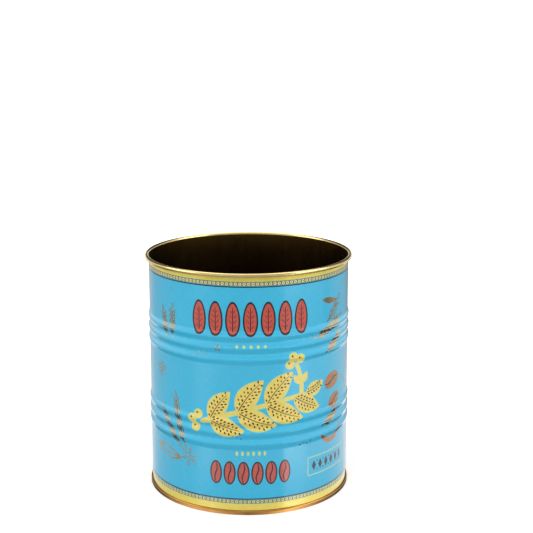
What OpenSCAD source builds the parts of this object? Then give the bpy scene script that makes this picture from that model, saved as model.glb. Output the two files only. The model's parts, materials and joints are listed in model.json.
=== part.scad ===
// Open-topped coffee tin: a beaded three-piece tinplate can.
// The body blank is rolled, lapped and welded down the right-hand side. Its top edge is
// curled outwards and its bottom edge is hooked into a pressed end by a double seam.
// Origin: middle of the circle that the tin stands on. +Z up, the printed front faces -Y.

/* [Body] */
// Outer diameter of the plain body wall
body_d = 153; // [110:0.5:200]
// Overall height, from the surface it stands on to the top of the curl
can_h = 183; // [168:1:260]
// Thickness of the body sheet
body_t = 0.28; // [0.2:0.02:0.36]

/* [Top curl] */
// How far the curl stands out past the wall
curl_proud = 3; // [1.6:0.1:4]
// Angle that the edge is rolled through
curl_turn = 320; // [240:5:330]

/* [Beads] */
// How far each bead stands out past the wall
bead_h = 0.8; // [0.2:0.1:1.4]
// Distance from one bead to the next in a group
bead_pitch = 8.6; // [6:0.1:10]
// Beads in each of the two groups
beads_per_group = 3; // [1:1:4]
// Height of the middle of the lower group
lower_group_z = 63; // [35:1:70]
// Height of the middle of the upper group
upper_group_z = 127.4; // [115:0.2:140]

/* [Base end] */
// Thickness of the end sheet
end_t = 0.28; // [0.2:0.02:0.36]
// Height of the countersink's crest above the surface that the tin stands on
countersink_h = 5.2; // [4.8:0.1:8]
// Drop from that crest to the middle panel
panel_drop = 1.7; // [1.2:0.1:2.2]
// Height of each expansion ring on the panel
ring_h = 0.7; // [0.2:0.1:1.2]
// Width of each expansion ring
ring_w = 5; // [3:0.5:6]
// Expansion rings on the panel
ring_count = 3; // [1:1:4]
// Distance from one expansion ring to the next
ring_pitch = 9; // [7:0.5:11]
// Flat border between the panel's edge and the middle of the outermost ring
ring_border = 9; // [6:0.5:12]

/* [Double seam] */
// Height of the double seam
seam_h = 3.2; // [3:0.1:4]
// Clearance between the folded layers
seam_gap = 0.05; // [0.03:0.01:0.08]
// Thickness of the sealing compound
compound_t = 0.3; // [0.1:0.05:0.5]

/* [Side seam] */
// Width of the lapped and welded edge
lap_w = 1.2; // [0.8:0.1:3]
// Width of the lacquer stripe over the weld, on the inside
stripe_w = 11; // [6:1:16]
// Thickness of the lacquer stripe
stripe_t = 0.05; // [0.03:0.01:0.1]

/* [Hidden] */
$fn = 180;

// Segments in each kind of arc
FOLD_STEPS = 8;
BEND_STEPS = 5;
CURL_STEPS = 22;
BEAD_STEPS = 12;
RING_STEPS = 8;

// Radii of the middle of the body sheet and of its two faces
wall_r = body_d / 2 - body_t / 2;
wall_in_r = body_d / 2 - body_t;
wall_out_r = body_d / 2;

// Double seam, from the inside out: radii of the middle of each folded layer
chuck_r = wall_r - body_t / 2 - seam_gap - end_t / 2;
cover_hook_r = wall_r + body_t / 2 + seam_gap + end_t / 2;
body_hook_r = cover_hook_r + end_t / 2 + seam_gap + body_t / 2;
seaming_r = body_hook_r + body_t / 2 + compound_t + end_t / 2;

// Fold of the body sheet at the bottom, around the cover hook's lip
body_fold_r = (body_hook_r - wall_r) / 2;
body_fold_z = end_t + seam_gap + body_t / 2 + body_fold_r;
// Fold of the end sheet at the top, over the body hook's lip
end_fold_r = (seaming_r - cover_hook_r) / 2;
end_fold_z = seam_h - end_t / 2 - end_fold_r;
// Corners of the end sheet on either side of the flat that the tin stands on
foot_r = 0.5;
// How far the lips stop short of the folds that they reach into
cover_lip_gap = 0.2;
body_lip_gap = 0.1;
body_hook_top_z = end_fold_z - body_lip_gap;

// Top curl
curl_r = (curl_proud + body_t) / 2 - body_t / 2;
curl_x = wall_r + curl_r;
curl_z = can_h - curl_r - body_t / 2;

// Countersink and panel of the base end
countersink_r = 0.8;
countersink_z = countersink_h - end_t / 2 - countersink_r;
panel_z = countersink_h - panel_drop - end_t / 2;
// Slope of the short wall between the crest and the panel, and the run that it takes
panel_slope = 60;
panel_wall_run = (countersink_z - panel_z) / tan(panel_slope);
panel_edge_r = chuck_r - countersink_r * (1 + 2 * sin(panel_slope)) - panel_wall_run;
first_ring_r = panel_edge_r - ring_border;

// The weld lies midway between the printed front and the back
SEAM_AZIMUTH = 0;
seam_clear = 0.6;
side_seam_z = [seam_h + seam_clear, curl_z - curl_r - seam_clear];
stripe_z = [countersink_h + seam_clear, curl_z];

// Points along an arc from angle a0 to a1
function arc(x, z, r, a0, a1, steps) =
    [for (i = [0:steps]) let (a = a0 + (a1 - a0) * i / steps) [x + r * cos(a), z + r * sin(a)]];

// A smooth bump of height 1 for u from -1 to 1
function bump(u) = (1 + cos(180 * u)) / 2;

// Heights of the middles of a group's beads, from the bottom up
function bead_heights(middle) =
    [for (i = [0:beads_per_group - 1]) middle + (i - (beads_per_group - 1) / 2) * bead_pitch];

// Outline of one bead on a wall of radius r, from the bottom up
function bead(r, z) =
    [for (i = [0:BEAD_STEPS])
        let (u = 2 * i / BEAD_STEPS - 1)
        [r + bead_h * bump(u), z + u * bead_pitch / 2]];

// A path without any point that repeats the one before it
function distinct(path) =
    [for (i = [0:len(path) - 1]) if (i == 0 || norm(path[i] - path[i - 1]) > 0.001) path[i]];

// Both groups of beads on a wall of radius r, from the bottom up
function beads(r) =
    distinct([for (g = [lower_group_z, upper_group_z], z = bead_heights(g)) each bead(r, z)]);

// Direction a quarter turn to the left of the step from a to b
function left(a, b) = [a[1] - b[1], b[0] - a[0]] / norm(b - a);

// Move a path sideways by d, to its left, keeping the corners true
function shifted(path, d) =
    let (last = len(path) - 1)
    [for (i = [0:last])
        let (
            before = i == 0 ? left(path[0], path[1]) : left(path[i - 1], path[i]),
            after = i == last ? before : left(path[i], path[i + 1])
        )
        path[i] + d * (before + after) / (1 + before * after)];

// Points of a list, last one first
function reversed(list) = [for (i = [len(list) - 1:-1:0]) list[i]];

// Sheet metal lying between d0 and d1 to the left of a path
function layer(path, d0, d1) = concat(shifted(path, d0), reversed(shifted(path, d1)));

// Sheet metal of thickness t whose middle follows a path
function sheet(path, t) = layer(path, -t / 2, t / 2);

// The body sheet from the hook's lip, down and round the fold, up the wall and round the curl
function body_path() = distinct(concat(
    [[body_hook_r, body_hook_top_z]],
    arc(wall_r + body_fold_r, body_fold_z, body_fold_r, 0, -180, FOLD_STEPS),
    beads(wall_r),
    arc(curl_x, curl_z, curl_r, 180, 180 - curl_turn, CURL_STEPS)
));

// One expansion ring, from the outside in
function ring(r) =
    [for (i = [0:RING_STEPS])
        let (u = 1 - 2 * i / RING_STEPS)
        [r + u * ring_w / 2, panel_z + ring_h * bump(u)]];

// The end sheet from the cover hook's lip, over the fold, under the body and in to the panel's middle
function end_path() = distinct(concat(
    [[cover_hook_r, body_fold_z + cover_lip_gap]],
    arc(cover_hook_r + end_fold_r, end_fold_z, end_fold_r, 180, 0, FOLD_STEPS),
    arc(seaming_r - foot_r, end_t / 2 + foot_r, foot_r, 0, -90, BEND_STEPS),
    arc(chuck_r + foot_r, end_t / 2 + foot_r, foot_r, -90, -180, BEND_STEPS),
    arc(chuck_r - countersink_r, countersink_z, countersink_r, 0, 90 + panel_slope, FOLD_STEPS),
    arc(panel_edge_r, panel_z + countersink_r, countersink_r, panel_slope - 90, -90, BEND_STEPS),
    [for (n = [0:ring_count - 1]) each ring(first_ring_r - n * ring_pitch)]
));

// Part of the wall's path between two heights, as the beads leave it
function wall_stretch(z) = concat([[wall_r, z[0]]], beads(wall_r), [[wall_r, z[1]]]);

// Turn an outline a part of the way round the axis, centred on the weld
module along_weld(outline, width) {
    turn = width / wall_r * 180 / PI;
    rotate([0, 0, SEAM_AZIMUTH - turn / 2]) rotate_extrude(angle = turn) polygon(outline);
}

// Rolled tinplate body with two groups of beads, the top curl and the bottom hook
module can_body() {
    color("#45B0D8") rotate_extrude() polygon(sheet(body_path(), body_t));
}

// Pressed end with its cover hook, countersink, and panel with expansion rings
module base_end() {
    path = end_path();
    last = path[len(path) - 1];
    closed = concat(path, [[0, last[1]]]);
    color("#A9792F") rotate_extrude() polygon(sheet(closed, end_t));
}

// Ring of cured sealing compound between the body hook and the seaming wall
module seam_compound() {
    low = body_fold_z + compound_t / 2;
    high = body_hook_top_z - compound_t / 2;
    x = body_hook_r + body_t / 2 + compound_t / 2;
    color("#4A4A46") rotate_extrude() polygon(concat(
        arc(x, low, compound_t / 2, -180, 0, FOLD_STEPS),
        arc(x, high, compound_t / 2, 0, 180, FOLD_STEPS)
    ));
}

// The blank's outer edge, lapped over the inner one and welded to it
module side_seam() {
    color("#8E9092") along_weld(layer(wall_stretch(side_seam_z), -1.5 * body_t, -body_t / 2), lap_w);
}

// Lacquer stripe that covers the weld on the inside
module inner_side_stripe() {
    color("#6E5330") along_weld(layer(wall_stretch(stripe_z), body_t / 2, body_t / 2 + stripe_t), stripe_w);
}

can_body();
base_end();
seam_compound();
side_seam();
inner_side_stripe();
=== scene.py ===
"""Printed coffee tin: an open-topped tinplate can with rolled beads, a curled mouth and a
double-seamed base end, decorated with a generic plant design.

Shapes are worked out in millimetres and turned into metres where a mesh is made. A place on
the wall is (u, z): u runs round the outside from the middle of the front, positive to the
right, and z is the height above the surface that the tin stands on.
"""

import json
import math
import random

import bpy
import numpy as np
from mathutils.geometry import delaunay_2d_cdt
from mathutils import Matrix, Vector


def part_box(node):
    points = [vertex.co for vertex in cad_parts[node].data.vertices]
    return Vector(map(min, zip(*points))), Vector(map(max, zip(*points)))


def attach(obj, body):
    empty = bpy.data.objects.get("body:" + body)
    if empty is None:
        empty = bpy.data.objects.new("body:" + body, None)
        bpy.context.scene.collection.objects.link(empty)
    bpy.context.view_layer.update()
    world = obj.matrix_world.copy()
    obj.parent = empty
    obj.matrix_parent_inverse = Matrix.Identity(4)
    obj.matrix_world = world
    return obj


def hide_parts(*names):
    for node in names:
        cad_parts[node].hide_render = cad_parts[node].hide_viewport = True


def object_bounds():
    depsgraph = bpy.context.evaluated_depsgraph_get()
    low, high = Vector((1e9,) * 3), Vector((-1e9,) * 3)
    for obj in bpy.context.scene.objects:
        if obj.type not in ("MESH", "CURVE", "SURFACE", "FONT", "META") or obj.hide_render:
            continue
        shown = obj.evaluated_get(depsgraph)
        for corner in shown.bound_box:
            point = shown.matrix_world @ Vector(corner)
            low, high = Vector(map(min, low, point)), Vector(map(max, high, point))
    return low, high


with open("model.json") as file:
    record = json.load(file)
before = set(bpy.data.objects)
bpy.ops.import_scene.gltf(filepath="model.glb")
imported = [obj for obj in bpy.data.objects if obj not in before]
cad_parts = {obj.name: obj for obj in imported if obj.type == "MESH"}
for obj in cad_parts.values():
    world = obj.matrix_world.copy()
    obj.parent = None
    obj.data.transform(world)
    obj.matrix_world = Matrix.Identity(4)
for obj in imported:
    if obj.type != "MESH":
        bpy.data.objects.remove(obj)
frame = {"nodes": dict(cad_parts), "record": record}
cad_low, cad_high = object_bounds()

MM = 0.001
BODY = "root"


# ---------------------------------------------------------------- driving sizes, in mm

def mount(name):
    """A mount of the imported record."""
    return next(m for m in frame["record"]["mounts"] if m["name"] == name)


SHEET = 0.28
MOUTH_R = mount("mouth")["dims"]["r_mm"]
WALL_R = MOUTH_R + SHEET
MID_R = MOUTH_R + SHEET / 2
CAN_H = cad_high[2] / MM
CURL_OUT_R = min(*(abs(v) for v in (*cad_low[:2], *cad_high[:2]))) / MM
SEAM_H = 3.2
SEAM_OUT_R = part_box("base_end")[1][0] / MM
PANEL_TOP_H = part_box("base_end")[1][2] / MM

# Rolled beads
BEAD_H = 0.8
BEAD_PITCH = 8.6
BEADS = 3
GROUP_HEIGHTS = (63.0, 127.4)

# Folds of the double seam, from the inside out
SEAM_GAP = 0.05
CHUCK_R = MID_R - SHEET - SEAM_GAP
COVER_HOOK_R = MID_R + SHEET + SEAM_GAP
BODY_HOOK_R = COVER_HOOK_R + SHEET + SEAM_GAP
SEAMING_R = SEAM_OUT_R - SHEET / 2
BODY_FOLD_R = (BODY_HOOK_R - MID_R) / 2
BODY_FOLD_Z = 1.5 * SHEET + SEAM_GAP + BODY_FOLD_R
END_FOLD_R = (SEAMING_R - COVER_HOOK_R) / 2
END_FOLD_Z = SEAM_H - SHEET / 2 - END_FOLD_R
BODY_HOOK_TOP = END_FOLD_Z - 0.1
COVER_HOOK_LOW = BODY_FOLD_Z + 0.2
FOOT_R = 0.5

# Top curl
CURL_R = (CURL_OUT_R - MOUTH_R) / 2 - SHEET / 2
CURL_Z = CAN_H - CURL_R - SHEET / 2
CURL_TURN = 320
CURL_STEPS = 26

# Base end: countersink, panel and expansion rings
SINK_R = 0.8
SINK_Z = PANEL_TOP_H - SHEET / 2 - SINK_R
PANEL_Z = PANEL_TOP_H - 1.7 - SHEET / 2
PANEL_SLOPE = 60
PANEL_R = (CHUCK_R - SINK_R * (1 + 2 * math.sin(math.radians(PANEL_SLOPE)))
           - (SINK_Z - PANEL_Z) / math.tan(math.radians(PANEL_SLOPE)))
RINGS = 3
RING_H = 0.7
RING_W = 5
RING_PITCH = 9

# Side seam, a quarter of the way round to the right
ROUND = 2 * math.pi * WALL_R
SEAM_U = ROUND / 4
SEAM_CLEAR = 0.6
LAP_W = 1.2
NUGGET_PITCH = 0.9
STRIPE_W = 11
STRIPE_T = 0.05

# Columns of faces round the tin, and half the width that's left unprinted beside the seam
COLUMNS = 360
COLUMN_W = ROUND / COLUMNS
BARE_HALF = 3 * COLUMN_W

# Films: how far each reaches into the wall, and by how much each of its shapes stands above
# the one before, up to a number of steps
SINK = 0.01
STACK = 0.0015
STACK_STEPS = 12


# ---------------------------------------------------------------- outlines of the sheet metal

def arc(x, z, r, a0, a1, steps):
    """Points along an arc, angles in degrees."""
    a = np.radians(np.linspace(a0, a1, steps + 1))
    return np.c_[x + r * np.cos(a), z + r * np.sin(a)]


def bump(u):
    """A smooth bump of height 1 for u from -1 to 1."""
    return (1 + np.cos(np.pi * u)) / 2


def joined(*paths):
    """Paths one after another, without points that repeat the one before."""
    points = np.concatenate([np.asarray(p, float).reshape(-1, 2) for p in paths])
    steps = np.linalg.norm(np.diff(points, axis=0), axis=1)
    return points[np.r_[True, steps > 1e-3]]


def normals_along(path):
    """Unit vectors to the left of a path at each of its points, mitred where it turns."""
    step = np.diff(path, axis=0)
    left = np.c_[-step[:, 1], step[:, 0]] / np.linalg.norm(step, axis=1)[:, None]
    before, after = np.vstack([left[:1], left]), np.vstack([left, left[-1:]])
    return (before + after) / (1 + np.sum(before * after, axis=1))[:, None]


def shifted(path, d):
    """A path moved sideways by d, to its left."""
    return path + d * normals_along(path)


def beads(r, steps=16):
    """Both groups of beads on a wall of radius r, from the bottom up."""
    u = np.linspace(-1, 1, steps + 1)
    middles = [g + (i - (BEADS - 1) / 2) * BEAD_PITCH for g in GROUP_HEIGHTS for i in range(BEADS)]
    return joined(*[np.c_[r + BEAD_H * bump(u), z + u * BEAD_PITCH / 2] for z in middles])


def body_path():
    """Middle of the body sheet, from the hook's lip up the wall and round the curl."""
    return joined(
        [(BODY_HOOK_R, BODY_HOOK_TOP)],
        arc(MID_R + BODY_FOLD_R, BODY_FOLD_Z, BODY_FOLD_R, 0, -180, 8),
        beads(MID_R),
        arc(MID_R + CURL_R, CURL_Z, CURL_R, 180, 180 - CURL_TURN, CURL_STEPS),
    )


def end_path():
    """Middle of the end sheet, from the cover hook's lip to the middle of the panel."""
    u = np.linspace(1, -1, 13)
    first = PANEL_R - RING_PITCH
    rings = [np.c_[first - n * RING_PITCH + u * RING_W / 2, PANEL_Z + RING_H * bump(u)]
             for n in range(RINGS)]
    return joined(
        [(COVER_HOOK_R, COVER_HOOK_LOW)],
        arc(COVER_HOOK_R + END_FOLD_R, END_FOLD_Z, END_FOLD_R, 180, 0, 16),
        arc(SEAMING_R - FOOT_R, SHEET / 2 + FOOT_R, FOOT_R, 0, -90, 8),
        arc(CHUCK_R + FOOT_R, SHEET / 2 + FOOT_R, FOOT_R, -90, -180, 8),
        arc(CHUCK_R - SINK_R, SINK_Z, SINK_R, 0, 90 + PANEL_SLOPE, 12),
        arc(PANEL_R, PANEL_Z + SINK_R, SINK_R, PANEL_SLOPE - 90, -90, 8),
        *rings,
    )


# ---------------------------------------------------------------- meshes

def new_piece(name, points_mm, faces, materials, slot, replaces=()):
    """A mesh object in the frame that rides on the tin's body."""
    mesh = bpy.data.meshes.new(name)
    mesh.from_pydata((np.asarray(points_mm) * MM).tolist(), [], faces)
    for mat in materials:
        mesh.materials.append(mat)
    piece = bpy.data.objects.new(name, mesh)
    bpy.context.scene.collection.objects.link(piece)
    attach(piece, BODY)
    if replaces:
        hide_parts(*replaces)
    return piece


def revolved(name, outline, materials, slot, pick=None, replaces=(), sharp=35):
    """A closed outline of (radius, height) points turned round the axis. A radius of 0 is a pole.

    pick(edge, column) gives the index of a face's material, for the edge from one point of the
    outline to the next."""
    points, faces, index, rings = [], [], [], []
    angles = 2 * np.pi * np.arange(COLUMNS) / COLUMNS
    for r, z in outline:
        if r < 1e-6:
            rings.append([len(points)] * COLUMNS)
            points.append((0, 0, z))
            continue
        rings.append(list(range(len(points), len(points) + COLUMNS)))
        points += [(r * math.sin(a), -r * math.cos(a), z) for a in angles]
    for e, ring in enumerate(rings):
        after = rings[(e + 1) % len(rings)]
        if ring[0] == ring[1] and after[0] == after[1]:
            continue
        for c in range(COLUMNS):
            d = (c + 1) % COLUMNS
            corners = [ring[c], ring[d], after[d], after[c]]
            faces.append([v for n, v in enumerate(corners) if v != corners[n - 1]])
            index.append(pick(e, c) if pick else 0)
    piece = new_piece(name, points, faces, materials, slot, replaces)
    piece.data.polygons.foreach_set("material_index", index)
    piece.data.polygons.foreach_set("use_smooth", [True] * len(faces))
    piece.data.set_sharp_from_angle(angle=math.radians(sharp))
    return piece


class Face:
    """One face of the wall as its mesh has it: flat facets between columns and rows."""

    def __init__(self, path, side):
        """path goes up the wall, and side is 1 for a face seen from outside, -1 from inside."""
        self.rows = path[:, 1]
        self.radii = path[:, 0]
        self.normals = -side * normals_along(path)
        self.side = side

    def points(self, u, z, lift):
        """Points at places (u, z), lifted off the facets, with their smooth normals."""
        turn = np.asarray(u, float) / COLUMN_W
        z = np.asarray(z, float)
        first = np.floor(turn + 1e-9)
        share = (turn - first)[:, None]
        a = 2 * np.pi * first / COLUMNS
        b = a + 2 * np.pi / COLUMNS
        chord = (1 - share) * np.c_[np.sin(a), -np.cos(a)] + share * np.c_[np.sin(b), -np.cos(b)]
        r = np.interp(z, self.rows, self.radii)
        out = np.interp(z, self.rows, self.normals[:, 0])
        up = np.interp(z, self.rows, self.normals[:, 1])
        middle = a + share[:, 0] * (b - a)
        normal = np.c_[out * np.sin(middle), -out * np.cos(middle), up]
        normal /= np.linalg.norm(normal, axis=1)[:, None]
        return np.c_[chord * r[:, None], z] + lift * normal, normal


def inside(points, loops):
    """Which points lie inside an outline made of loops, by the even-odd rule."""
    x, y = points[:, 0], points[:, 1]
    result = np.zeros(len(points), bool)
    for loop in loops:
        for (x0, y0), (x1, y1) in zip(loop, np.roll(loop, -1, axis=0)):
            if y0 == y1:
                continue
            crosses = (y0 > y) != (y1 > y)
            result ^= crosses & (x < x0 + (y - y0) * (x1 - x0) / (y1 - y0))
    return result


def cut_outline(loops, rows):
    """Triangles that fill an outline, cut along the wall's columns and rows."""
    points, edges = [], []
    for loop in loops:
        n = len(points)
        points += [tuple(p) for p in loop]
        edges += [(n + i, n + (i + 1) % len(loop)) for i in range(len(loop))]
    low = np.min(points, axis=0) - 0.01
    high = np.max(points, axis=0) + 0.01
    lines = [((k * COLUMN_W, low[1]), (k * COLUMN_W, high[1]))
             for k in range(math.ceil(low[0] / COLUMN_W), math.floor(high[0] / COLUMN_W) + 1)]
    lines += [((low[0], z), (high[0], z)) for z in rows if low[1] < z < high[1]]
    for a, b in lines:
        edges.append((len(points), len(points) + 1))
        points += [a, b]
    found, _, triangles = delaunay_2d_cdt(points, edges, [], 0, 1e-5, False)[:3]
    found = np.array([tuple(p) for p in found])
    triangles = np.array([t for t in triangles if len(t) == 3], int)
    keep = inside(found[triangles].mean(axis=1), loops)
    return found, triangles[keep]


def film(name, shapes, lift, mat, slot, face, replaces=()):
    """A closed film on a face of the wall. shapes are outlines, each a list of loops of (u, z).

    The film stands above the face by lift, and takes the wall's smooth normals."""
    points, normals, faces, corners = [], [], [], []
    for k, loops in enumerate(shapes):
        flat, triangles = cut_outline([np.asarray(p, float) for p in loops], face.rows)
        used, triangles = np.unique(triangles, return_inverse=True)
        triangles = triangles.reshape(-1, 3)
        flat = flat[used]
        top, normal = face.points(flat[:, 0], flat[:, 1], lift + STACK * (k % STACK_STEPS))
        low = face.points(flat[:, 0], flat[:, 1], -SINK)[0]
        n, count = len(points), len(flat)
        points += list(top) + list(low)
        normals += list(normal) * 2
        if face.side < 0:
            triangles = triangles[:, ::-1]
        open_edges = {}
        for a, b, c in triangles.tolist():
            faces.append([n + a, n + b, n + c])
            corners += [normals[n + a], normals[n + b], normals[n + c]]
            faces.append([n + count + c, n + count + b, n + count + a])
            corners += [-normals[n + c], -normals[n + b], -normals[n + a]]
            for p, q in ((a, b), (b, c), (c, a)):
                if open_edges.pop((q, p), None) is None:
                    open_edges[(p, q)] = True
        for p, q in open_edges:
            quad = [n + q, n + p, n + count + p, n + count + q]
            faces.append(quad)
            across = np.cross(points[quad[1]] - points[quad[0]], points[quad[2]] - points[quad[1]])
            corners += [across / max(np.linalg.norm(across), 1e-12)] * 4
    piece = new_piece(name, points, faces, [mat], slot, replaces)
    piece.data.polygons.foreach_set("use_smooth", [True] * len(faces))
    piece.data.normals_split_custom_set([tuple(c) for c in corners])
    return piece


# ---------------------------------------------------------------- materials

def srgb(r, g, b):
    """A linear colour from 8-bit sRGB values."""
    def one(v):
        v /= 255
        return v / 12.92 if v <= 0.04045 else ((v + 0.055) / 1.055) ** 2.4
    return (one(r), one(g), one(b), 1)


class Nodes:
    """The node tree of a material or a world, with short calls for what they share."""

    def __init__(self, owner, place="Object"):
        owner.use_nodes = True
        self.tree = owner.node_tree
        self.shader = self.tree.nodes.get("Principled BSDF")
        self.place = self.add("ShaderNodeTexCoord").outputs[place]

    def add(self, kind, **settings):
        """A new node with some of its settings."""
        node = self.tree.nodes.new(kind)
        for key, value in settings.items():
            setattr(node, key, value)
        return node

    def link(self, a, b):
        """A link from one socket to another."""
        self.tree.links.new(a, b)

    def set(self, **values):
        """Constants on the shader's inputs, named with _ for a space."""
        for key, value in values.items():
            self.shader.inputs[key.replace("_", " ")].default_value = value

    def noise(self, scale, detail=2, rough=0.5, stretch=(1, 1, 1)):
        """Noise over the object, scale in bumps a metre."""
        place = self.add("ShaderNodeMapping")
        place.inputs["Scale"].default_value = stretch
        self.link(self.place, place.inputs["Vector"])
        node = self.add("ShaderNodeTexNoise")
        node.inputs["Scale"].default_value = scale
        node.inputs["Detail"].default_value = detail
        node.inputs["Roughness"].default_value = rough
        self.link(place.outputs["Vector"], node.inputs["Vector"])
        return node.outputs["Fac"]

    def ramp(self, value, *stops):
        """A colour ramp: stops are (position, colour)."""
        node = self.add("ShaderNodeValToRGB")
        ramp = node.color_ramp
        while len(ramp.elements) < len(stops):
            ramp.elements.new(0.5)
        for element, (at, colour) in zip(ramp.elements, stops):
            element.position = at
            element.color = colour
        self.link(value, node.inputs["Fac"])
        return node.outputs["Color"]

    def span(self, value, low, high, start=0.0, end=1.0):
        """A value between start and end taken to low to high, and held there outside them."""
        node = self.add("ShaderNodeMapRange")
        for key, number in (("From Min", start), ("From Max", end), ("To Min", low), ("To Max", high)):
            node.inputs[key].default_value = number
        self.link(value, node.inputs["Value"])
        return node.outputs["Result"]

    def mix(self, share, a, b):
        """Colour a to colour b by share. a and b are colours or sockets."""
        node = self.add("ShaderNodeMix", data_type="RGBA")
        self.link(share, node.inputs["Factor"])
        for socket, value in ((node.inputs[6], a), (node.inputs[7], b)):
            if isinstance(value, tuple):
                socket.default_value = value
            else:
                self.link(value, socket)
        return node.outputs[2]

    def bump(self, value, height_mm, after=None):
        """A normal bent by a value as a height, on top of another normal if there is one."""
        node = self.add("ShaderNodeBump")
        node.inputs["Strength"].default_value = 1.0
        node.inputs["Distance"].default_value = height_mm * MM
        self.link(value, node.inputs["Height"])
        if after is not None:
            self.link(after, node.inputs["Normal"])
        return node.outputs["Normal"]


def sheet_waves(n, fine=0.0012, broad=0.05):
    """The slow waves of thin sheet and the fine skin of a roller-coated film, as bump."""
    slow = n.bump(n.noise(16, 1, 0.4, (1, 1, 0.35)), broad)
    return n.bump(n.noise(900, 1), fine, after=slow)


def ink(name, colour, deep, metal=0.0, rough=0.32, coat_rough=0.05):
    """Printed ink under a clear varnish, with the slight mottle of a litho print.

    metal is how far the tinplate shows through the ink."""
    mat = bpy.data.materials.new(name)
    n = Nodes(mat)
    n.set(Metallic=metal, Coat_Weight=1.0, Coat_Roughness=coat_rough, Coat_IOR=1.5)
    mottle = n.ramp(n.noise(420, 3, 0.6), (0.3, deep), (0.7, colour))
    n.link(mottle, n.shader.inputs["Base Color"])
    n.link(n.span(n.noise(60, 3), rough - 0.05, rough + 0.06), n.shader.inputs["Roughness"])
    waves = sheet_waves(n)
    n.link(waves, n.shader.inputs["Normal"])
    n.link(waves, n.shader.inputs["Coat Normal"])
    return mat


def lacquered_metal(name, colour, deep, rough=0.22, streak=(1, 1, 0.08), vary=0.075, grain=0.0015,
                    gloss=0.0):
    """Tinplate, bare or under a transparent lacquer, with a share of gloss on top.

    streak stretches its unevenness, and vary is how much its roughness changes."""
    mat = bpy.data.materials.new(name)
    n = Nodes(mat)
    n.set(Metallic=1.0, Coat_Weight=gloss, Coat_Roughness=0.08)
    tone = n.ramp(n.noise(90, 4, 0.6, streak), (0.3, deep), (0.72, colour))
    n.link(tone, n.shader.inputs["Base Color"])
    n.link(n.span(n.noise(700, 3, 0.6, streak), rough - vary, rough + vary), n.shader.inputs["Roughness"])
    n.link(sheet_waves(n, grain), n.shader.inputs["Normal"])
    return mat


BLUE = ink("blue_ink", srgb(46, 178, 215), srgb(40, 171, 209), coat_rough=0.06)
RED = ink("red_ink", srgb(200, 84, 70), srgb(180, 72, 60), metal=0.15)
YELLOW = ink("yellow_ink", srgb(226, 204, 98), srgb(218, 190, 84))
PALE = ink("pale_ink", srgb(190, 212, 140), srgb(180, 204, 132))
DARK = ink("dark_ink", srgb(18, 18, 26), srgb(12, 12, 18))
GOLD = ink("gold_varnish", srgb(252, 232, 104), srgb(244, 220, 88), metal=0.42, rough=0.3)
LINE = ink("gold_line_ink", srgb(206, 188, 146), srgb(186, 166, 120), metal=1.0, rough=0.18)
TAN = ink("tan_ink", srgb(196, 140, 96), srgb(176, 120, 76), metal=0.7, rough=0.28)
# Painted shade: a dark ink for the band along the crevice where the wall meets the base seam's fold
SEAM_SHADE_INK = ink("painted_seam_shade_ink", srgb(104, 68, 24), srgb(88, 56, 18), metal=0.3)
LACE = ink("border_ground_ink", srgb(90, 104, 78), srgb(78, 92, 68), metal=0.3)
RING_INK = ink("border_ring_ink", srgb(234, 230, 170), srgb(224, 220, 156), metal=0.3)
BRONZE = lacquered_metal("inside_lacquer", srgb(100, 78, 40), srgb(92, 70, 34), rough=0.3,
                         streak=(0.3, 0.3, 0.1))
CURL = lacquered_metal("curl_lacquer", srgb(242, 220, 154), srgb(232, 204, 134), rough=0.13)
END = lacquered_metal("end_lacquer", srgb(218, 158, 76), srgb(204, 142, 60), rough=0.18,
                      streak=(1, 1, 1), vary=0.03, grain=0.0004, gloss=1.0)
TIN = lacquered_metal("bare_tinplate", srgb(194, 194, 190), srgb(172, 172, 168), rough=0.38)
STRIPE = lacquered_metal("stripe_lacquer", srgb(120, 86, 44), srgb(104, 74, 38), rough=0.4)


def weld_material():
    """The overlapping nuggets of a resistance weld, heat-dulled and tinted, each with a painted
    highlight.
    """
    mat = bpy.data.materials.new("weld")
    n = Nodes(mat)
    n.set(Metallic=1.0)
    # A wave texture repeats every pi / 10 over its scale
    nuggets = n.add("ShaderNodeTexWave", bands_direction="Z")
    nuggets.inputs["Scale"].default_value = math.pi / 10 / (NUGGET_PITCH * MM)
    nuggets.inputs["Distortion"].default_value = 1.5
    nuggets.inputs["Detail Scale"].default_value = 2.0
    n.link(n.place, nuggets.inputs["Vector"])
    tone = n.ramp(n.noise(260, 3, 0.6), (0.3, srgb(82, 76, 74)), (0.55, srgb(112, 104, 96)),
                  (0.75, srgb(92, 96, 116)))
    # Lighter towards the crest of each nugget: a painted highlight over the heat tint
    n.link(n.mix(n.span(nuggets.outputs["Fac"], 0, 0.8), tone, srgb(156, 152, 146)),
           n.shader.inputs["Base Color"])
    n.link(n.span(n.noise(800, 2), 0.36, 0.52), n.shader.inputs["Roughness"])
    n.link(n.bump(nuggets.outputs["Fac"], 0.08), n.shader.inputs["Normal"])
    return mat


def compound_material():
    """Cured sealing compound: dark, matte and slightly lumpy."""
    mat = bpy.data.materials.new("sealing_compound")
    n = Nodes(mat)
    n.set(Roughness=0.8)
    tone = n.ramp(n.noise(500, 3), (0.3, srgb(62, 62, 58)), (0.7, srgb(84, 84, 78)))
    n.link(tone, n.shader.inputs["Base Color"])
    n.link(n.bump(n.noise(1500, 2), 0.02), n.shader.inputs["Normal"])
    return mat


# ---------------------------------------------------------------- the can

def outline_of(path, close_on_axis=False):
    """The closed outline of a sheet whose middle follows a path."""
    if close_on_axis:
        path = np.vstack([path, [0, path[-1, 1]]])
    return np.vstack([shifted(path, -SHEET / 2), shifted(path, SHEET / 2)[::-1]])


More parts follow.
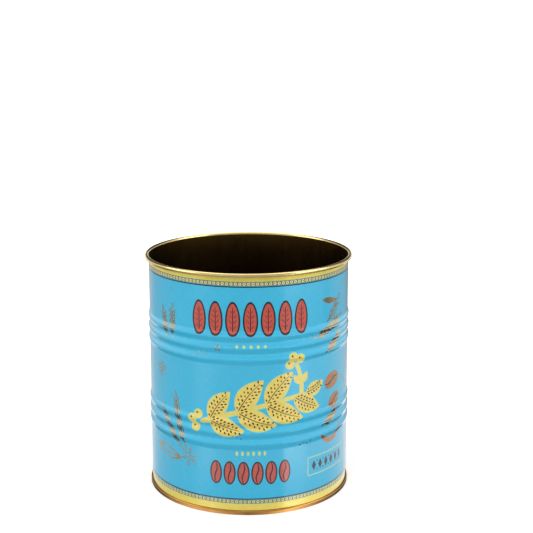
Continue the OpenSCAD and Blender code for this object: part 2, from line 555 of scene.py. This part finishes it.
def make_body():
    """The body sheet: printed outside, lacquered inside and over the curl."""
    path = body_path()
    outline = outline_of(path)
    last = len(path) - 1
    curl_start = last - CURL_STEPS
    seam_column = COLUMNS / 4
    bare = BARE_HALF / COLUMN_W

    def pick(edge, column):
        """Curl, lacquered inside, bare strip by the weld or printed outside."""
        step = edge if edge < last else 2 * last - edge
        if step >= curl_start:
            return 3
        if edge > last:
            return 1
        return 2 if abs(column + 0.5 - seam_column) < bare else 0

    return revolved("can_body_sheet", outline, [BLUE, BRONZE, TIN, CURL], "printed_body", pick,
                    replaces=("can_body",))


def make_end():
    """The base end, lacquered on both sides."""
    outline = outline_of(end_path(), close_on_axis=True)
    return revolved("base_end_sheet", outline, [END], "lacquered_end", replaces=("base_end",))


def wall_rows(side, low, high):
    """The wall's own rows on one side between two heights, from the bottom up."""
    path = shifted(beads(MID_R), -side * SHEET / 2)
    ends = MID_R + side * SHEET / 2
    inner = path[(path[:, 1] > low) & (path[:, 1] < high)]
    return np.vstack([[ends, low], inner, [ends, high]])


OUTSIDE = Face(wall_rows(1, BODY_FOLD_Z, CURL_Z), 1)
INSIDE = Face(wall_rows(-1, BODY_FOLD_Z, CURL_Z), -1)
PRINT_START = SEAM_U + BARE_HALF - ROUND
PRINT_END = SEAM_U - BARE_HALF


# ---------------------------------------------------------------- flat outlines, as (u, z)

def block(u0, u1, z0, z1):
    """A rectangle."""
    return np.array([(u0, z0), (u1, z0), (u1, z1), (u0, z1)], float)


def placed(x, y, u, z, turn):
    """Points (x, y) turned by some degrees and moved to (u, z)."""
    t = math.radians(turn)
    return np.c_[u + x * math.cos(t) - y * math.sin(t), z + x * math.sin(t) + y * math.cos(t)]


def oval(u, z, w, h, turn=0, steps=32):
    """An ellipse turned by some degrees."""
    a = 2 * np.pi * np.arange(steps) / steps
    return placed(w / 2 * np.cos(a), h / 2 * np.sin(a), u, z, turn)


def diamond(u, z, w, h):
    """A rhombus that stands on its point."""
    return oval(u, z, w, h, steps=4)


def curve(u, z, heading, length, bend=0, steps=20):
    """Points along a line that starts at (u, z) and turns by bend degrees over its length."""
    a = np.radians(heading + bend * (np.arange(steps) + 0.5) / steps)
    way = np.vstack([[0, 0], np.cumsum(np.c_[np.cos(a), np.sin(a)], axis=0)])
    return np.array([u, z]) + way * length / steps


def along(path, t):
    """Place and heading a share t of the way along a path."""
    k = t * (len(path) - 1)
    i = min(int(k), len(path) - 2)
    step = path[i + 1] - path[i]
    return path[i] + (k - i) * step, math.degrees(math.atan2(step[1], step[0]))


def ribbon(path, widths):
    """Outline of a line along a path, with a width at each point."""
    side = normals_along(path) * np.asarray(widths)[:, None] / 2
    return joined(path + side, (path - side)[::-1])


def stroke(path, start, end=None):
    """Outline of a line that tapers from one width to another, with round ends."""
    end = start if end is None else end
    share = np.linspace(0, 1, len(path))
    round_off = np.sqrt(np.clip(1 - np.abs(2 * share - 1) ** 16, 0.02, 1))
    return ribbon(path, (start + (end - start) * share) * round_off)


def blade(path, width, full=0.8, steps=30):
    """Outline of a leaf that lies along a path, with more points towards its ends.

    A smaller full gives a fuller leaf with blunter ends."""
    share = (1 - np.cos(np.pi * np.arange(steps + 1) / steps)) / 2
    at = np.linspace(0, 1, len(path))
    line = np.c_[np.interp(share, at, path[:, 0]), np.interp(share, at, path[:, 1])]
    return ribbon(line, width * np.maximum(np.sin(np.pi * share ** 0.85) ** full, 0.01))


def blade_line(path, width, line=0.82):
    """A leaf drawn as a line: its outline and the hole inside it."""
    trim = max(1, len(path) // 8)
    return [blade(path, width, steps=18), blade(path[trim:-trim], width - 2 * line, steps=14)]


# ---------------------------------------------------------------- artwork

# Bands round the tin, as (low, high)
GOLD_BANDS = ((176.8, 180.0), (3.35, 8.5))
# A band of painted shade along that crevice, under the lower gold band, as (low, high)
PAINTED_SEAM_SHADE = ((2.7, 3.35),)
LACE_GROUNDS = ((173.5, 176.6), (8.7, 11.6))
DARK_LINES = ((172.4, 173.2), (11.9, 12.7))
LACE_MIDDLES = (175.05, 10.15)

# Middle of the upper title and the small marks
ART_U = 2.4

# How full the branch's leaves are, and the scatter of the dashes on them
LEAF_FULL = 0.85
dice = random.Random(7)


def both(shapes):
    """The shapes on the front, and again on the back."""
    return shapes + [[loop + (ROUND / 2, 0) for loop in shape] for shape in shapes]


def bands(heights):
    """Plain bands round the tin, from one side of the bare seam to the other."""
    return [[block(PRINT_START, PRINT_END, low, high)] for low, high in heights]


def border(z, count=150):
    """A chain of rings round the tin, with two dots one above the other between each two."""
    ring_w, ring_h = 2.35, 2.5
    hole_w, hole_h = 0.95, 1.1
    dot, dot_rise = 0.5, 1.1
    pitch = (PRINT_END - PRINT_START) / count
    middles = PRINT_START + pitch * (np.arange(count) + 0.5)
    rings = [[oval(u, z, ring_w, ring_h, steps=18), oval(u, z, hole_w, hole_h, steps=12)]
             for u in middles]
    dots = [[oval(u + pitch / 2, z + s * dot_rise, dot, dot, steps=8)]
            for u in middles[:-1] for s in (-1, 1)]
    return rings + dots


def title_leaves():
    """A row of upright leaves: outer shapes, fills and veins."""
    count, pitch, full, up = 7, 12.8, 0.46, 90
    vein_pitch, vein_lengths = 3.9, (2.5, 3.1, 2.8, 1.8)
    outer, fill, veins = [], [], []
    for i in range(count):
        u = ART_U + (i - (count - 1) / 2) * pitch
        outer.append([blade(curve(u, 136.4, up, 25.6, 0, 28), 11.0, full)])
        fill.append([blade(curve(u, 137.9, up, 22.6, 0, 28), 8.7, full)])
        veins.append([stroke(curve(u, 139.6, up, 18.2), 0.8, 0.5)])
        for k, length in enumerate(vein_lengths):
            for side in (-1, 1):
                start = (u + side * 0.7, 142.3 + vein_pitch * k)
                vein = curve(*start, up - side * 52, length, side * 20, 6)
                veins.append([stroke(vein, 0.5, 0.3)])
    return outer, fill, veins


def lower_beans():
    """A row of coffee beans: outer shapes, fills and slits."""
    count, pitch, middle, z = 6, 10.3, 2.05, 32.4
    wide, tall, rim = 9.2, 18.2, 1.1
    sway, reach = 0.95, 7.9
    h = np.linspace(-1, 1, 27)
    outer, fill, slits = [], [], []
    for i in range(count):
        u = middle + (i - (count - 1) / 2) * pitch
        outer.append([oval(u, z, wide, tall, steps=44)])
        fill.append([oval(u, z, wide - 2 * rim, tall - 2 * rim, steps=44)])
        slits.append([ribbon(np.c_[u + sway * np.sin(np.pi * h), z + reach * h],
                             1.0 - 0.55 * np.abs(h) ** 3)])
    return outer, fill, slits


def branch():
    """A coffee branch: pale edges, yellow fills, and the dark veins and dashes on them."""
    edges, fills, marks = [], [], []
    stem = curve(-36, 70, 20, 84, -12, 40)
    # Place along the stem, length and width of the leaves, and the sides that they grow on
    pairs = ((0.10, 27, 13, (-1, 1)), (0.36, 31, 14.5, (-1, 1)),
             (0.62, 31, 14.5, (-1, 1)), (0.88, 26, 13, (-1,)))
    leaves = []
    for t, length, width, sides in pairs:
        place, heading = along(stem, t)
        leaves += [(curve(*place, heading + s * 48, length, -s * 24, 28), width) for s in sides]
    place, heading = along(stem, 1)
    leaves.append((curve(*place, heading, 18, 26, 24), 9.5))
    for path, width in leaves:
        edges.append([blade(path, width + 1.8, LEAF_FULL)])
        fills.append([blade(path, width, LEAF_FULL)])
        marks.append([stroke(path[1:-3], 0.75, 0.35)])
        marks += leaf_dashes(path, width)
    shoot = curve(*along(stem, 0.95)[0], 84, 26, 34, 24)
    for line, start, end in ((stem, 3.0, 1.8), (shoot, 2.4, 1.6)):
        edges.append([stroke(line, start + 1.6, end + 1.5)])
        fills.append([stroke(line, start, end)])
    place, heading = along(shoot, 0.34)
    for side in (1, -1):
        path = curve(*place, heading + side * 46, 9.5, -side * 16, 20)
        edges.append([blade(path, 5.4, LEAF_FULL)])
        fills.append([blade(path, 3.8, LEAF_FULL)])
    # Middle and radius of each cluster of berries, and where they lie round it in radians
    clusters = (((-37.5, 70.5), 5.2, (1.6, 2.9, 4.3)), (shoot[-1], 4.6, (0.6, 2.0, 3.4)))
    berries = [(u + r * math.cos(a), z + r * math.sin(a))
               for (u, z), r, turns in clusters for a in turns]
    for u, z in berries:
        edges.append([oval(u, z, 7.4, 7.4)])
        fills.append([oval(u, z, 5.8, 5.8)])
        marks.append([oval(u - 0.9, z + 0.9, 1.5, 1.5, steps=12)])
    return edges, fills, marks


def leaf_dashes(path, width):
    """Short dashes in rows that slant away from the midrib of a leaf, leaving its edge clear."""
    clear = [blade(path, width - 2.4, LEAF_FULL)]
    marks = []
    for t in np.arange(0.04, 0.86, 3.5 / (len(path) * 1.08)):
        place, heading = along(path, t)
        for side in (-1, 1):
            slant = heading + side * 46
            way = np.array([math.cos(math.radians(slant)), math.sin(math.radians(slant))])
            # Distances of a row's dashes from the midrib
            for reach in (2.6, 5.7, 8.8):
                spot = place + way * (reach + dice.uniform(-0.3, 0.3))
                if inside(spot[None], clear)[0]:
                    size = dice.uniform(0.85, 1.15)
                    marks.append([oval(*spot, 1.9 * size, 1.1 * size, slant, 10)])
    return marks


def sprig(u, z, heading, length, bend, pairs, leaf, width, spread=38, first=0.2, solid=False):
    """A thin stem with pairs of leaves and one at its tip, as outlines or solid."""
    stem = curve(u, z, heading, length, bend)
    shapes = [[stroke(stem, 1.1, 0.8)]]
    leaves = []
    for k in range(pairs):
        place, way = along(stem, first + (0.95 - first) * k / pairs)
        leaves += [curve(*place, way + side * spread, leaf, -side * 18, 16) for side in (-1, 1)]
    place, way = along(stem, 1)
    leaves.append(curve(*place, way, leaf * 0.8, 0, 16))
    return shapes + [[blade(path, width)] if solid else blade_line(path, width) for path in leaves]


def petals(u, z, count, reach, width, turn=0):
    """Line-work: a flower of outlined petals round a dot."""
    shapes = [[oval(u, z, 1.6, 1.6, steps=12)]]
    for k in range(count):
        a = turn + 360 * k / count
        start = (u + 1.3 * math.cos(math.radians(a)), z + 1.3 * math.sin(math.radians(a)))
        shapes.append(blade_line(curve(*start, a, reach, 0, 14), width, 0.62))
    return shapes


def grains(u, z, count, step, rise, long, wide, turn):
    """Line-work: a few small grains in a zigzag row, each turned further than the last."""
    return [[oval(u + step * k, z + rise * (k % 2), long, wide, turn * k, 10)]
            for k in range(count)]


def line_work():
    """The thin gold drawing on both sides of the front, and the grains round the branch."""
    # Left, from the top
    shapes = sprig(-61, 129, 96, 22, -10, 4, 6.5, 2.5)
    shapes += sprig(-68.5, 128, 98, 20, 8, 4, 6, 2.4)
    shapes += petals(-77, 102.4, 7, 5.4, 3.0, 12)
    shapes += sprig(-48.5, 45, 113, 40, -16, 7, 7.5, 2.6, 28)
    shapes += sprig(-52, 44.5, 133, 34, -8, 6, 7, 2.4, 28)
    shapes += [blade_line(curve(-54, 37.5, 178, 32, -14, 24), 8.5, 0.95)]
    shapes += [[stroke(curve(-56, 37.6, 178, 27, -12), 0.95, 0.65)]]
    shapes += petals(-46.3, 40.5, 6, 7.4, 2.0, 20)
    # Above and below the branch
    shapes += petals(-21.6, 127.6, 5, 1.6, 1.1, 18)
    shapes += [[oval(-11 + 3 * k, 61 - k, 1.6, 0.9, 30 * k, 10)] for k in range(3)]
    shapes += grains(-39, 121, 4, 2.6, 2.2, 1.7, 0.9, 40)
    # Right, from the top
    shapes += [[blade(curve(61, 158, -16, 19, 14, 20), 4.6)]]
    shapes += sprig(66, 140, 34, 20, 20, 3, 8, 2.8)
    shapes += sprig(51, 130, 12, 34, 14, 6, 6.6, 2.3, solid=True)
    shapes += sprig(64, 117, 22, 22, 20, 4, 6.6, 2.3, solid=True)
    shapes += sprig(60, 61, 14, 22, 20, 4, 6.4, 2.1, solid=True)
    shapes += [[stroke(curve(82.5, 95, -4, 24, -70), 0.9, 0.6)]]
    shapes += grains(40, 51, 4, 3.2, 1.5, 1.8, 1.0, 35)
    return shapes


def side_beans():
    """Two coffee beans and a ribbon in tan foil, right of the branch: fills and slits."""
    fills, slits = [], []
    for u, z, w, h, turn in ((73.5, 94, 19, 12.6, 12), (76.5, 78, 16, 10, 24)):
        fills.append([oval(u, z, w, h, turn, 44)])
        s = np.linspace(-1, 1, 25)
        slit = placed(0.47 * w * s, 0.1 * h * np.sin(np.pi * s), u, z, turn)
        slits.append([ribbon(slit, 1.0 - 0.6 * np.abs(s) ** 3)])
    fills.append([blade(curve(60, 54.5, -58, 33, 130, 32), 4.2, 0.6)])
    return fills, slits


def plaque():
    """A framed plate with a row of diamonds and dots: frame and marks."""
    left, right, low, high, line = 47.4, 92.3, 24.3, 39.1, 0.7
    count, pitch, first = 6, 6.6, 53.5
    z = (low + high) / 2
    frame_line = [[block(left, right, low, high),
                   block(left + line, right - line, low + line, high - line)]]
    marks = [[diamond(first + pitch * k, z, 4.2, 8.2)] for k in range(count)]
    marks += [[oval(first + pitch * (k + 0.5), z + s * 3.2, 1.2, 1.2, steps=10)]
              for k in range(count - 1) for s in (-1, 1)]
    return frame_line, marks


def small_marks():
    """A row of small diamonds under the upper title, and of small ovals over the lower one."""
    diamonds = [[diamond(ART_U + 0.35 + 5.1 * (k - 2), 128.9, 2.7, 3.0)] for k in range(5)]
    ovals = [[oval(ART_U + 4.1 * (k - 2.5), 47.7, 2.0, 3.6, steps=16)] for k in range(6)]
    return diamonds + ovals


def make_print():
    """The print's films, one for each ink and group of shapes."""
    title_outer, title_fill, title_veins = title_leaves()
    bean_outer, bean_fill, bean_slits = lower_beans()
    edges, fills, marks = branch()
    foil, foil_slits = side_beans()
    plate, plate_marks = plaque()
    rings = [shape for z in LACE_MIDDLES for shape in border(z)]
    # Name, shapes, height above the wall, ink and material slot
    films = (
        ("gold_bands", bands(GOLD_BANDS), 0.03, GOLD, "gold_print"),
        # Painted shade along the crevice over the base seam, in dark ink
        ("painted_seam_shade", bands(PAINTED_SEAM_SHADE), 0.03, SEAM_SHADE_INK, "dark_print"),
        ("border_ground", bands(LACE_GROUNDS), 0.03, LACE, "dark_print"),
        ("border_lines", bands(DARK_LINES), 0.03, DARK, "dark_print"),
        ("border_rings", rings, 0.05, RING_INK, "gold_print"),
        ("title_outlines", both(title_outer + bean_outer), 0.03, DARK, "dark_print"),
        ("title_fills", both(title_fill + bean_fill), 0.05, RED, "red_print"),
        ("title_details", both(title_veins + bean_slits), 0.07, DARK, "dark_print"),
        ("branch_edges", both(edges), 0.03, PALE, "yellow_print"),
        ("branch_fills", both(fills), 0.05, YELLOW, "yellow_print"),
        ("branch_shading", both(marks), 0.08, DARK, "dark_print"),
        ("small_marks", both(small_marks()), 0.03, PALE, "yellow_print"),
        ("plaque_frame", both(plate), 0.03, PALE, "yellow_print"),
        ("plaque_marks", both(plate_marks), 0.03, DARK, "dark_print"),
        ("line_work", both(line_work()), 0.04, LINE, "line_print"),
        ("foil_shapes", both(foil), 0.03, TAN, "line_print"),
        ("foil_slits", both(foil_slits), 0.05, DARK, "dark_print"),
    )
    for name, shapes, lift, mat, slot in films:
        film(name, shapes, lift, mat, slot, OUTSIDE)


def make_side_seam():
    """The welded lap outside, and the lacquer stripe over the weld inside."""
    half = LAP_W / 2
    lap = block(SEAM_U - half, SEAM_U + half, SEAM_H + SEAM_CLEAR, CURL_Z - CURL_R - SEAM_CLEAR)
    film("side_seam_lap", [[lap]], SHEET, weld_material(), "bare_tinplate", OUTSIDE, ("side_seam",))
    half = STRIPE_W / 2
    stripe = block(SEAM_U - half, SEAM_U + half, PANEL_TOP_H + SEAM_CLEAR, CURL_Z)
    film("inner_stripe", [[stripe]], STRIPE_T, STRIPE, "side_stripe", INSIDE, ("inner_side_stripe",))


make_body()
make_end()
make_side_seam()
make_print()
compound = frame["nodes"]["seam_compound"]
compound.data.materials.clear()
compound.data.materials.append(compound_material())


# ---------------------------------------------------------------- floor, light and camera

# Camera, in metres and degrees from looking straight down
EYE = (0.0138, -0.9155, 0.3750)
EYE_TILT = 77.43
LENS = 82.3

# Soft boxes in metres and watts: name, azimuth from the camera (positive to the right), distance,
# height, width, how tall, power, and whether the tin mirrors it
SOFTBOXES = (
    ("front_box", -5, 1.75, 2.55, 3.6, 1.0, 52, False),
    ("left_box", -82, 1.5, 0.95, 1.2, 0.7, 5, True),
    ("right_box", 76, 1.5, 0.95, 1.2, 0.7, 7, True),
    ("back_box", 180, 0.5, 1.5, 1.4, 0.8, 5, True),
)
AIM_HEIGHT = 0.1


def softbox(name, azimuth, distance, height, width, tall, watts, mirrored):
    """An area light that faces the tin, and that the camera doesn't see."""
    light = bpy.data.lights.new(name, "AREA")
    light.shape = "RECTANGLE"
    light.size = width
    light.size_y = tall
    light.energy = watts
    lamp = bpy.data.objects.new(name, light)
    a = math.radians(azimuth)
    lamp.location = (distance * math.sin(a), -distance * math.cos(a), height)
    down = math.atan2(height - AIM_HEIGHT, distance)
    lamp.rotation_euler = (math.pi / 2 - down, 0, a)
    lamp.visible_camera = False
    lamp.visible_glossy = mirrored
    bpy.context.scene.collection.objects.link(lamp)


# Heights in degrees between which one part of the surroundings gives way to the next: where the
# ring below the horizon starts, goes from its lower to its upper table, and ends, and where the
# sky starts and ends
RING_START = (-25.8, -24.6)
RING_CHANGE = (-23, -14)
RING_END = (-12, -5)
SKY_START = (3, 12)
SKY_END = (42, 54)

# Brightness of what the tin mirrors, by azimuth from the camera, positive to the right: at the
# bottom and the top of the ring, and in the sky
LOW_RING = ((-90, 0.62), (-68, 0.7), (-58, 1.5), (-48, 1.7), (-36, 1.2), (-24, 0.9), (0, 0.85),
            (40, 0.9), (44, 3.0), (66, 2.6), (74, 1.6), (120, 1.2), (144, 1.1), (160, 1.2),
            (192, 0.95), (208, 0.93), (240, 0.65), (269, 0.62))
HIGH_RING = ((-90, 0.36), (-55, 0.42), (-50, 0.15), (0, 0.12), (37, 0.12), (42, 0.42), (50, 0.38),
             (64, 0.22), (76, 0.5), (84, 0.25), (92, 0.45), (97, 0.1), (104, 0.1), (110, 0.38),
             (144, 0.35), (160, 0.25), (192, 0.48), (208, 0.58), (224, 0.36), (269, 0.36))
SKY = ((-90, 0.9), (-60, 0.6), (0, 0.36), (45, 0.36), (74, 0.6), (100, 0.9), (110, 0.8),
       (138, 0.15), (160, 0.08), (208, 0.08), (224, 0.15), (250, 0.8), (269, 0.9))
# The same for the strip of floor against the base, by its place round the tin: painted light and
# shade, dark behind and beside the tin where its shadow falls, bright in front where the floor is
# lit. The strip is measured from a point a little in front of the axis, so it is widest in front
PAINTED_BASE_STRIP = ((-90, 0.03), (-70, 0.05), (-56, 0.22), (-46, 0.5), (-38, 1.0), (-22, 1.1), (0, 0.35),
              (10, 0.6), (23, 1.6), (30, 1.3), (45, 0.4), (64, 0.08), (90, 0.03), (269, 0.03))
STRIP_FORWARD = 4.5
STRIP_FADE = (1, 2)
# Brightness below and above the parts that vary round the tin, by height in degrees
HEIGHTS = ((-90, 0.5), (-60, 0.5), (-46, 0.4), (-41, 0.16), (-37, 0.08), (-25.8, 0.08),
           (-12, 1.0), (-5, 1.0), (0, 1.1), (6, 1.0), (50, 1.0), (65, 1.0), (90, 0.5))


def grey(tone):
    """A grey of some brightness."""
    return (tone, tone, tone, 1)


def round_tin(n, table):
    """A brightness that goes with the azimuth, by the stops of a table."""
    turn = n.add("ShaderNodeTexGradient", gradient_type="RADIAL")
    n.link(n.place, turn.inputs["Vector"])
    return n.ramp(turn.outputs["Fac"], *sorted(((azimuth / 360 + 0.25) % 1, grey(tone))
                                               for azimuth, tone in table))


def studio_world():
    """Surroundings whose brightness goes with height, but for a ring below the horizon and the
    sky above it, where it goes with azimuth too."""
    world = bpy.data.worlds.new("studio")
    n = Nodes(world, "Generated")
    height = n.add("ShaderNodeSeparateXYZ")
    n.link(n.place, height.inputs["Vector"])
    rise = height.outputs["Z"]

    def between(heights):
        """0 to 1 from one height in degrees to another."""
        return n.span(rise, 0, 1, *(math.sin(math.radians(up)) for up in heights))

    ring = n.mix(between(RING_CHANGE), round_tin(n, LOW_RING), round_tin(n, HIGH_RING))
    rest = n.ramp(n.span(rise, 0, 1, -1, 1), *[((math.sin(math.radians(up)) + 1) / 2, grey(tone))
                                               for up, tone in HEIGHTS])
    lower = n.mix(between(RING_START), rest, ring)
    sky = n.mix(between(SKY_START), rest, round_tin(n, SKY))
    upper = n.mix(between(SKY_END), sky, rest)
    n.link(n.mix(between(RING_END), lower, upper), n.tree.nodes["Background"].inputs["Color"])
    bpy.context.scene.world = world


def floor_material():
    """White paper, which glows a little away from the tin so that it meets the horizon as white.

    The tin mirrors only the strip of it that lies against the base, and looks through the rest
    to the studio's surroundings. That strip glows with painted light and shade: dark behind and
    beside the tin as in its shadow, bright in front."""
    mat = bpy.data.materials.new("floor_paper")
    n = Nodes(mat)
    far = n.add("ShaderNodeVectorMath", operation="LENGTH")
    n.link(n.place, far.inputs[0])
    ray = n.add("ShaderNodeLightPath")
    seen = ray.outputs["Is Camera Ray"]
    n.set(Roughness=0.9, Emission_Strength=1.0)
    for_light, for_camera = 0.6, 0.93
    n.link(n.mix(seen, grey(for_light), grey(for_camera)), n.shader.inputs["Base Color"])
    glow_from, glow_to = 0.25, 0.8
    away = n.span(far.outputs["Value"], 0, 1, glow_from, glow_to)
    glow = n.ramp(away, (0.0, grey(0.1)), (1.0, grey(0.6)))
    n.link(n.mix(seen, grey(0.0), glow), n.shader.inputs["Emission Color"])
    # The strip's glow is painted light and shade round the tin, seen only in reflections
    strip = n.add("ShaderNodeEmission")
    n.link(round_tin(n, PAINTED_BASE_STRIP), strip.inputs["Color"])
    forward = n.add("ShaderNodeVectorMath", operation="DISTANCE")
    forward.inputs[1].default_value = (0, -STRIP_FORWARD * MM, 0)
    n.link(n.place, forward.inputs[0])
    near, past = ((SEAM_OUT_R + reach) * MM for reach in STRIP_FADE)
    mirrored = n.add("ShaderNodeMixShader")
    n.link(n.span(forward.outputs["Value"], 0, 1, near, past), mirrored.inputs["Fac"])
    n.link(strip.outputs["Emission"], mirrored.inputs[1])
    n.link(n.add("ShaderNodeBsdfTransparent").outputs["BSDF"], mirrored.inputs[2])
    blend = n.add("ShaderNodeMixShader")
    n.link(ray.outputs["Is Glossy Ray"], blend.inputs["Fac"])
    n.link(n.shader.outputs["BSDF"], blend.inputs[1])
    n.link(mirrored.outputs["Shader"], blend.inputs[2])
    n.link(blend.outputs["Shader"], n.tree.nodes["Material Output"].inputs["Surface"])
    return mat


def studio_floor(radius=12):
    """A plain round floor, radius in metres."""
    a = 2 * np.pi * np.arange(64) / 64
    mesh = bpy.data.meshes.new("floor")
    mesh.from_pydata(np.c_[radius * np.cos(a), radius * np.sin(a), 0 * a].tolist(), [], [range(64)])
    mesh.materials.append(floor_material())
    floor = bpy.data.objects.new("floor", mesh)
    bpy.context.scene.collection.objects.link(floor)


def finish_stage():
    """World, floor, soft boxes and camera."""
    scene = bpy.context.scene
    scene.view_settings.view_transform = "Standard"
    studio_world()
    studio_floor()
    for box in SOFTBOXES:
        softbox(*box)

    camera = bpy.data.cameras.new("camera")
    camera.lens = LENS
    eye = bpy.data.objects.new("camera", camera)
    eye.location = EYE
    eye.rotation_euler = (math.radians(EYE_TILT), 0, 0)
    scene.collection.objects.link(eye)
    scene.camera = eye


finish_stage()
